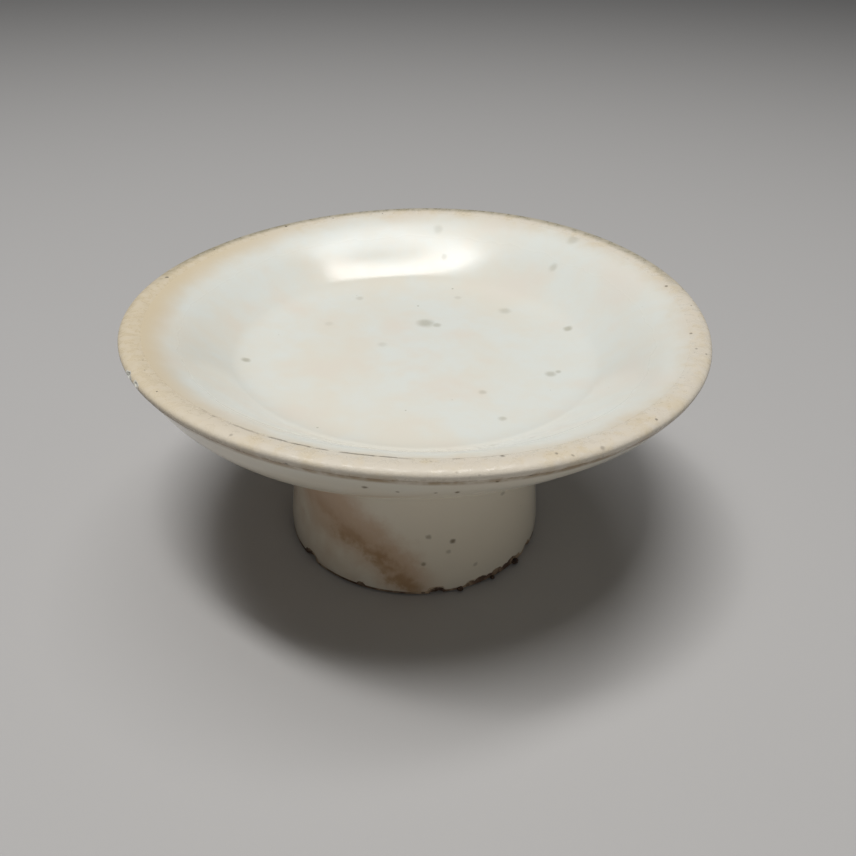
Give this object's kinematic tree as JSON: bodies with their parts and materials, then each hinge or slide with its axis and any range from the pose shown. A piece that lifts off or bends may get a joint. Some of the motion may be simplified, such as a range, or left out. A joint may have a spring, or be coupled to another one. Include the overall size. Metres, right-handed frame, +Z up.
{
  "type": "footed porcelain dish",
  "caption": "Shallow round white-glazed porcelain dish with a worn bare lip, on a tall hollow foot open underneath.",
  "frame": {"origin": "centre of the foot's bearing edge, on the surface that the dish stands on", "axes": "+Z up along the axis the dish was thrown on, -Y towards the front"},
  "size_m": [0.1398, 0.1398, 0.0654],
  "materials": {
    "clear_glaze": "glossy clear glaze over white porcelain, faintly blue-grey with cream patches and dark specks",
    "bare_lip": "glaze worn off, honey-stained porcelain polished by use, with dark pinholes",
    "bare_foot": "unglazed porcelain, rough and browned on the edge it stands on",
    "dried_slip": "matt fired slip",
    "kiln_grit": "rough burnt sand"
  },
  "bodies": {
    "root": {"dish_body": "bare_lip", "foot_ring": "bare_foot", "luting_slip": "dried_slip", "inside_glaze": "clear_glaze", "outside_glaze": "clear_glaze", "well_glaze": "clear_glaze", "kiln_grit_front": "kiln_grit", "kiln_grit_middle": "kiln_grit", "kiln_grit_right": "kiln_grit"}
  },
  "joints": []
}
